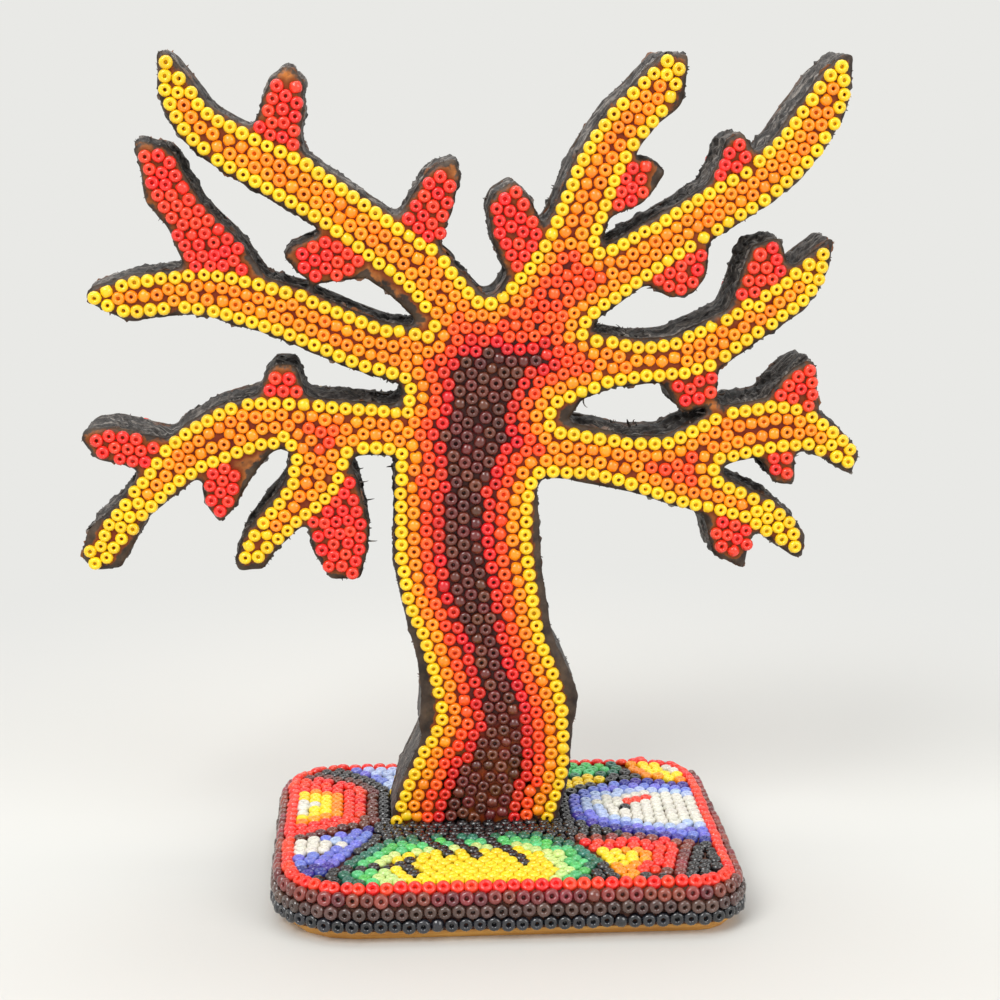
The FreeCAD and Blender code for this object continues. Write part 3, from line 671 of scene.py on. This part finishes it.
def whittled(run):
    """A run cut to short even steps, its corners worn round and its line a little uneven."""
    steps = []
    for index, start in enumerate(run):
        end = run[(index + 1) % len(run)]
        count = max(1, round((end - start).length / outline_step))
        steps += [start.lerp(end, part / count) for part in range(count)]
    for turn in range(2):
        steps = [(steps[i - 1] + steps[i] * 2 + steps[(i + 1) % len(steps)]) / 4
                 for i in range(len(steps))]
    line = []
    for index, spot in enumerate(steps):
        along = steps[(index + 1) % len(steps)] - steps[index - 1]
        across = Vector((along.y, -along.x)).normalized()
        sway = uneven(Vector((spot.x, spot.y, 0)) / mm, outline_waves)
        line.append(spot + across * sway * mm)
    return line


def prism(runs, start, end, layers):
    """A closed board inside the runs, open at its gaps, between two levels of y."""
    shape = bmesh.new()
    edges = []
    for run in runs:
        spots = [shape.verts.new((spot.x, start, spot.y)) for spot in run]
        edges += [shape.edges.new((spots[i - 1], spots[i])) for i in range(len(spots))]
    for layer in range(layers):
        grown = bmesh.ops.extrude_edge_only(shape, edges=edges)["geom"]
        edges = [part for part in grown if isinstance(part, bmesh.types.BMEdge)]
        spots = [part for part in grown if isinstance(part, bmesh.types.BMVert)]
        bmesh.ops.translate(shape, verts=spots, vec=(0, (end - start) / layers, 0))
    spots = [spot for run in runs for spot in run]
    lines, first = [], 0
    for run in runs:
        lines += [(first + i, first + (i + 1) % len(run)) for i in range(len(run))]
        first += len(run)
    near, far = np.array([[spots[i], spots[j]] for i, j in lines]).transpose(1, 0, 2)
    spots, unused, triples = geometry.delaunay_2d_cdt(spots, lines, [], 0, 1e-7)[:3]
    flat = np.array(spots)
    for triple in triples:
        x, z = flat[triple].mean(0)
        level = (near[:, 1] > z) != (far[:, 1] > z)
        here, there = near[level], far[level]
        meet = here[:, 0] + (z - here[:, 1]) / (there[:, 1] - here[:, 1]) * (there - here)[:, 0]
        if (meet > x).sum() % 2:
            for level in (start, end):
                shape.faces.new([shape.verts.new((flat[i][0], level, flat[i][1]))
                                 for i in triple])
    bmesh.ops.remove_doubles(shape, verts=shape.verts, dist=0.001 * mm)
    bmesh.ops.recalc_face_normals(shape, faces=shape.faces)
    return shape


runs = [whittled(run) for run in outlines("tree_board", -1)]
low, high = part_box("tree_board")
shape = prism(runs, low.y, high.y, board_layers)
shape.normal_update()
for vertex in shape.verts:
    across = Vector((vertex.normal.x, 0, vertex.normal.z))
    if vertex.co.z < low.z + flat_foot or across.length < 0.01:
        continue
    spot = vertex.co / mm
    inwards = min(spot.y - low.y / mm, high.y / mm - spot.y)
    torn = max(least_torn, 1 - inwards / torn_margin)
    facet = facet_top - abs(uneven(spot, knife_facets))
    chip = abs(uneven(spot, chips)) - chip_top
    crumbly = max(0, uneven(spot, crumbling, (31, 0, 0)) + crumbly_start)
    branch = min(max((spot.z - trunk_top) / (branches_from - trunk_top), 0), 1)
    cut = facet * min(1, inwards / facet_margin) + uneven(spot, saw_marks, (9, 0, 0))
    cut += (chip + uneven(spot, shreds)) * torn - whittled_off
    cut += uneven(spot, breaks) * min(crumbly * crumbly_share, 1)
    cut *= trunk_share + (1 - trunk_share) * branch
    vertex.co += across.normalized() * min(cut, most_proud) * mm
    vertex.co.y += uneven(spot, bowing, (0, 0, 40)) * min(1, inwards / bowing_margin) * mm
for face in shape.faces:
    face.smooth = abs(face.normal.y) < 0.5
tree_wood = piece_of(shape, "tree_wood")
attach(tree_wood, "root")
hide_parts("tree_board")


def ramp(add, along, first, last, between=()):
    """Colours along a value, from the first stop to the last, each a place and a colour."""
    colours = add("ShaderNodeValToRGB", {"Fac": along})
    stops = colours.color_ramp.elements
    for stop, (spot, colour) in zip(stops, (first, last)):
        stop.position = spot
        stop.color = colour
    for spot, colour in between:
        stops.new(spot).color = colour
    return colours.outputs["Color"]


def stretched(add, where, scales):
    """Places drawn out along one way, for streaks."""
    return add("ShaderNodeMapping", {"Vector": where, "Scale": scales}).outputs[0]


def mixed(add, share, one, other):
    """Two colours mixed; with a share of 1 the other is alone."""
    return add("ShaderNodeMix", {0: share, 6: one, 7: other}, data_type="RGBA").outputs[2]


def bumped(add, height, strength, distance):
    """Fine relief on a surface."""
    return add("ShaderNodeBump", {"Height": height, "Strength": strength,
                                  "Distance": distance}).outputs[0]


smoked, add, body = material_of("smoked_wood")
place = add("ShaderNodeTexCoord").outputs["Object"]
streaks = mottle(add, stretched(add, place, (95, 760, 95)), 1.0, 6.0, 0.65)
fine = mottle(add, place, 1400.0, 3.0)
level = maths(add, "SUBTRACT", maths(add, "MULTIPLY_ADD", fine, 0.45, streaks), 0.225)
grey = ramp(add, level, (0.38, shade(26, 23, 22)), (0.70, shade(140, 132, 124)),
            [(0.52, shade(64, 59, 56))])
scratches = mottle(add, stretched(add, place, (150, 2600, 150)), 1.0, 2.0)
scratched = mixed(add, spread(add, scratches, 0.58, 0.68, 0.0, 0.55), grey,
                  shade(176, 170, 162))

# Wax that has run over the edges is smeared along the margins of the sides.
smear = spread(add, mottle(add, place, 110.0, 3.0), 0.54, 0.64)
through = add("ShaderNodeSeparateXYZ", {0: place}).outputs["Y"]
off_middle = maths(add, "ABSOLUTE", maths(add, "SUBTRACT", through, (low.y + high.y) / 2))
half = (high.y - low.y) / 2
by_edge = spread(add, off_middle, half - 2.6 * mm, half - 0.4 * mm)
amber = mixed(add, maths(add, "MULTIPLY", smear, by_edge), scratched, shade(128, 74, 30))
relief = maths(add, "MULTIPLY_ADD", streaks, 2.0, fine)
feed(body, {"Base Color": amber, "Roughness": spread(add, streaks, 0.3, 0.7, 0.42, 0.75),
            "Normal": bumped(add, relief, 0.8, 0.3 * mm)})
tree_wood.data.materials.append(smoked)


# ---------------------------------------------------------------- wax on the tree
# Beeswax softened in the sun and pressed on by hand, some 0.6 mm thick: amber where it
# lies bare at the twigs' tips, dark with soot along the edges, raised round each bead.
wax_body, add = node_group("wax_body", {"Clean": "Float", "Painted_shade": "Float", "Deep": "Float"},
                           {"Colour": "Color", "Gloss": "Float", "Grain": "Float"})
given = add("NodeGroupInput").outputs
place = add("ShaderNodeTexCoord").outputs["Object"]
clouds = mottle(add, place, 260.0, 5.0, 0.6)
specks = mottle(add, place, 1300.0, 4.0)
amber = ramp(add, clouds, (0.36, shade(86, 50, 26)), (0.64, shade(188, 112, 48)))
# Painted shade for the wax between the beads, tinted with the painted reflected colour of the
# beads round it: orange-brown near the edge, darker and redder further in.
bead_gap_painted_shade = ramp(add, given["Deep"], (0.1, shade(128, 62, 6)), (0.95, shade(58, 20, 15)),
               [(0.4, shade(122, 44, 5)), (0.7, shade(104, 24, 10))])
grimy = ramp(add, clouds, (0.4, shade(40, 31, 26)), (0.7, shade(88, 71, 56)))
waxed = mixed(add, given["Clean"], grimy, mixed(add, given["Painted_shade"], amber, bead_gap_painted_shade))
add("NodeGroupOutput", {"Colour": waxed, "Gloss": spread(add, specks, 0.3, 0.7, 0.34, 0.6),
                        "Grain": specks})


def beeswax(name):
    """Beeswax: its material, its way to add nodes, and the wax body it is made of."""
    material, add, body = material_of(name)
    wax = add("ShaderNodeGroup", node_tree=wax_body)
    feed(body, {"Base Color": wax.outputs["Colour"], "Roughness": wax.outputs["Gloss"],
                "Normal": bumped(add, wax.outputs["Grain"], 0.5, 0.2 * mm),
                "Specular IOR Level": 0.3})
    return material, add, wax


# Clean wax lies inside the sooty margin; away from the beads it is smudged by handling,
# most of all low down on the trunk.
tree_wax, add, wax = beeswax("beeswax")
inside, between, deep = [add("ShaderNodeAttribute", attribute_name=word).outputs["Fac"]
                         for word in ("inside", "between", "deep")]
place = add("ShaderNodeTexCoord").outputs["Object"]
ragged = maths(add, "MULTIPLY_ADD", mottle(add, place, 1300.0, 4.0), 1.1, inside)
height = add("ShaderNodeSeparateXYZ", {0: place}).outputs["Z"]
low_down = spread(add, height, 0.048, 0.07, 1.2, 0.0)
smudges = spread(add, mottle(add, place, 150.0, 4.0, 0.7), 0.47, 0.64, 0.0, 0.95)
darker = maths(add, "MULTIPLY", maths(add, "MAXIMUM", low_down, smudges),
               maths(add, "SUBTRACT", 1.0, between))
clean = spread(add, maths(add, "SUBTRACT", ragged, darker), 0.7, 1.05)
# Near the beads the wax takes the painted shade.
feed(wax, {"Clean": clean, "Painted_shade": between, "Deep": deep})

wax_key = 1.0 * mm                  # the coat's own mesh runs on into the board
wax_grain = 0.45 * mm
wax_skin = 0.35 * mm                # only so much of the outside is worked by hand
off_foot = 1.5 * mm
# The rest is in millimetres on the face of the coat.
soot_by_twig = ((3, 6), (1.6, 2.8))     # sooty margin by how far off the twigs' beads are
between_beads = ((1.4, 1.9), (1.0, 0.0))    # wax between the beads, which gets the painted shade, by the nearest bead
deepest = 9                             # so far inside the edge the painted shade between the beads is darkest
collar, collar_width, collar_height = 1.25, 0.22, 0.2   # wax squeezed up round a bead
lumps = ((1 / 1.7, 0.1), (1 / 0.7, 0.05))
worn_margin, worn_down = 0.7, 0.3

line = finder([spot for run in runs for spot in run
               if spot.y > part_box("tree_board")[0].z + off_foot])
for name, side in (("tree_wax_front", -1), ("tree_wax_back", 1)):
    low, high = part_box(name)
    outer, inner = (low.y, high.y + wax_key) if side < 0 else (high.y, low.y - wax_key)
    block = piece_of(prism(runs, outer, inner, 1), name + "_block")
    grain = block.modifiers.new("grain", "REMESH")
    grain.mode = "VOXEL"
    grain.voxel_size = wax_grain
    grain.use_smooth_shade = True
    bpy.context.view_layer.update()
    mesh = bpy.data.meshes.new_from_object(
        block.evaluated_get(bpy.context.evaluated_depsgraph_get()))
    bpy.data.objects.remove(block)
    mesh.name = "beeswax_" + name
    pressed, twigs = finder(tree_beads[side]), finder(twig_spots[side])
    inside, between, deep = [], [], []
    for vertex in mesh.vertices:
        spot = vertex.co
        margin, reach, away = [near.find((spot.x, spot.z, 0))[2] / mm
                               for near in (line, pressed, twigs)]
        covered = max(margin - bare_margin(spot.z) / mm, 0.0)
        inside.append(min(covered / np.interp(away, *soot_by_twig), 1.0))
        between.append(np.interp(reach, *between_beads))
        deep.append(min(covered / deepest, 1.0))
        if (spot.y - outer) * side < -wax_skin:
            continue
        raised = collar_height * math.exp(-((reach - collar) / collar_width) ** 2)
        worn = worn_down * max(0, 1 - margin / worn_margin)
        vertex.co.y += side * (raised + uneven(spot / mm, lumps) - worn) * mm
    marked(mesh, "inside", inside)
    marked(mesh, "between", between)
    marked(mesh, "deep", deep)
    mesh.materials.append(tree_wax)
    coat = set_down(mesh)
    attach(coat, "root")
    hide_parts(name)


# ---------------------------------------------------------------- torn fibres
# Splinters and hairs of the wood that the saw and the knife left standing along the
# edges, thickest in the narrow forks, where they curl up in tufts.
fine_hairs = 1500
rough_patches, rough_from = 3 * mm, -0.05
tufts = ((-20, 70, 12), (-24, 69, 5), (-22, 59, 5), (-34, 58, 4), (28, 112.5, 7),
         (15, 93.5, 8), (22, 97, 5), (-20, 82.5, 8), (22, 92, 8), (20, 76, 8),
         (33, 78, 6), (48, 69, 6), (10, 80, 5))     # across, height and how many fibres
tuft_roots = 16                     # a tuft grows from so many steps of the outline
# Lengths and widths in millimetres, and how far round a fibre curls.
hair_sizes = ((0.45, 0.75), (0.1, 0.26), (0.2, 1.2))
tuft_sizes = ((0.9, 2.4), (0.14, 0.3), (0.9, 2.8))
hair_depths = (0.0, 0.03, 0.06, 0.94, 0.97, 1.0)    # shares of the board's thickness
hair_spread, least_outward = 0.6, 0.2
rooted = 0.3 * mm
off_plate = 3 * mm
chance = np.random.default_rng(404)
every = [(spot, run[(index + 1) % len(run)] - run[index - 1])
         for run in runs for index, spot in enumerate(run)]
rough = [root for root in every
         if noise.noise(Vector((*root[0], 0)) / rough_patches) > rough_from]
roots = [rough[chance.integers(len(rough))] for number in range(fine_hairs)]
for x, z, count in tufts:
    fork = Vector((x, z)) * mm
    close = sorted(every, key=lambda root: (root[0] - fork).length)[:tuft_roots]
    roots += [close[chance.integers(len(close))] for number in range(count)]
low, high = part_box("tree_board")
shape = bmesh.new()
bmesh.ops.create_cone(shape, segments=4, radius1=1.0, radius2=0.15, depth=1.0, cap_ends=True,
                      matrix=Matrix.Translation((0, 0, 0.5)))
sides = [edge for edge in shape.edges
         if abs(edge.verts[0].co.z - edge.verts[1].co.z) > 0.5]
splinter = bpy.data.meshes.new("splinter")
shape.to_mesh(splinter)
bmesh.ops.subdivide_edges(shape, edges=sides, cuts=4)
fibre = bpy.data.meshes.new("fibre")
shape.to_mesh(fibre)
shape.clear()
for number, (spot, along) in enumerate(roots):
    if spot.y < low.z + off_plate:
        continue
    tufted = number >= fine_hairs
    lengths, widths, curls = tuft_sizes if tufted else hair_sizes
    across = Vector((along.y, 0, -along.x)).normalized()
    length = chance.uniform(*lengths) * mm
    depth = chance.uniform(0, 1) if tufted else chance.choice(hair_depths)
    way = (across + Vector(chance.normal(0, hair_spread, 3))).normalized()
    if way.dot(across) < least_outward:
        way = (way + across).normalized()
    foot = Vector((spot.x, low.y + (high.y - low.y) * depth, spot.y)) - across * rooted
    thick = chance.uniform(*widths) * mm
    curl = chance.uniform(*curls)
    turn = way.to_track_quat("Z", "Y").to_matrix()
    first = len(shape.verts)
    shape.from_mesh(fibre if tufted else splinter)
    shape.verts.ensure_lookup_table()
    for vertex in shape.verts[first:]:
        arc = vertex.co.z * curl
        wide = vertex.co.x * thick
        curled = Vector(((1 - math.cos(arc)) / curl * length + math.cos(arc) * wide,
                         vertex.co.y * thick,
                         math.sin(arc) / curl * length - math.sin(arc) * wide))
        vertex.co = foot + turn @ curled
bpy.data.meshes.remove(fibre)
bpy.data.meshes.remove(splinter)
bmesh.ops.recalc_face_normals(shape, faces=shape.faces)
fibres = piece_of(shape, "torn_fibres")
fibres.data.materials.append(smoked)
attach(fibres, "root")
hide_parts("tree_board")


# ---------------------------------------------------------------- plate
# A thick piece of light softwood, sanded round at the corners and the upper edge.
# Its foot stays bare; wax covers the rest.  Two dowels hold the tree on it.
pine, add, body = material_of("bare_pine")
place = add("ShaderNodeTexCoord").outputs["Object"]
grain = mottle(add, stretched(add, place, (40, 420, 420)), 1.0, 6.0, 0.6)
wood = ramp(add, grain, (0.3, shade(186, 122, 46)), (0.7, shade(236, 182, 92)))
feed(body, {"Base Color": wood, "Roughness": 0.6,
            "Normal": bumped(add, grain, 0.4, 0.2 * mm)})
plate_wax, add, wax = beeswax("beeswax_on_plate")
# The plate's wax shows only between the beads, so it is mostly the painted shade, near its
# darkest.
feed(wax, {"Clean": 0.85, "Painted_shade": 0.85, "Deep": 0.95})
for name, material in (("base_board", pine), ("fixing_dowels", pine), ("base_wax", plate_wax)):
    nodes[name].data.materials.clear()
    nodes[name].data.materials.append(material)


# ---------------------------------------------------------------- floor, light and camera
# The figure stands on a pale sheet that fades into a pale wall, under three softboxes.
paper = shade(233, 233, 230)


def background_rays(add):
    """One on the rays that meet the background: straight on, off a gloss or through glass."""
    path = add("ShaderNodeLightPath").outputs
    either = maths(add, "MAXIMUM", path["Is Camera Ray"], path["Is Glossy Ray"])
    return maths(add, "MAXIMUM", either, path["Is Transmission Ray"])


shape = bmesh.new()
bmesh.ops.create_grid(shape, x_segments=1, y_segments=1, size=3.0)
floor = piece_of(shape, "floor")
pale, add, body = material_of("pale_floor")
feed(body, {"Base Color": shade(212, 211, 205), "Roughness": 0.7})
distant = add("ShaderNodeEmission", {"Color": paper, "Strength": 1.0})
place = add("ShaderNodeTexCoord").outputs["Object"]
reach = add("ShaderNodeVectorMath", {0: place}, operation="LENGTH").outputs["Value"]
fading = spread(add, reach, 0.085, 0.22, interpolation_type="SMOOTHSTEP")
seen = maths(add, "MULTIPLY", fading, background_rays(add))
joined = add("ShaderNodeMixShader", {0: seen, 1: body.outputs[0], 2: distant.outputs[0]})
feed(pale.node_tree.nodes["Material Output"], {"Surface": joined.outputs[0]})
floor.data.materials.append(pale)

world = bpy.data.worlds.new("soft_room")
bpy.context.scene.world = world
world.use_nodes = True
add = wired(world.node_tree)
room = world.node_tree.nodes["Background"]
feed(room, {"Color": (0.95, 0.96, 1.0, 1), "Strength": 0.6})
paper_wall = add("ShaderNodeBackground", {"Color": paper, "Strength": 1.0})
joined = add("ShaderNodeMixShader", {0: background_rays(add), 1: room.outputs[0],
                                     2: paper_wall.outputs[0]})
feed(world.node_tree.nodes["World Output"], {"Surface": joined.outputs[0]})


def softbox(name, spot, target, size, power):
    """A square softbox, turned towards its target."""
    lamp = bpy.data.lights.new(name, "AREA")
    lamp.shape = "SQUARE"
    lamp.size = size
    lamp.energy = power
    holder = bpy.data.objects.new(name, lamp)
    holder.location = spot
    holder.rotation_euler = (Vector(target) - Vector(spot)).to_track_quat("-Z", "Y").to_euler()
    bpy.context.scene.collection.objects.link(holder)


softbox("key", (-0.45, -0.55, 0.75), (0, 0, 0.06), 0.5, 6.3)
softbox("fill", (0.7, -0.6, 0.5), (0, 0, 0.06), 0.6, 3.6)
softbox("top", (0.0, 0.25, 0.9), (0, 0, 0.05), 0.7, 3.6)

looking_down, turned_right = 12.35, 3.6     # degrees
lens = bpy.data.cameras.new("camera")
lens.lens = 74.7
lens.sensor_width = 36.0
lens.clip_start = 0.01
camera = bpy.data.objects.new("camera", lens)
camera.location = (-0.0207, -0.32875, 0.1357)
camera.rotation_euler = (math.radians(90 - looking_down), 0, math.radians(-turned_right))
bpy.context.scene.collection.objects.link(camera)
bpy.context.scene.camera = camera
bpy.context.scene.view_settings.view_transform = "Standard"
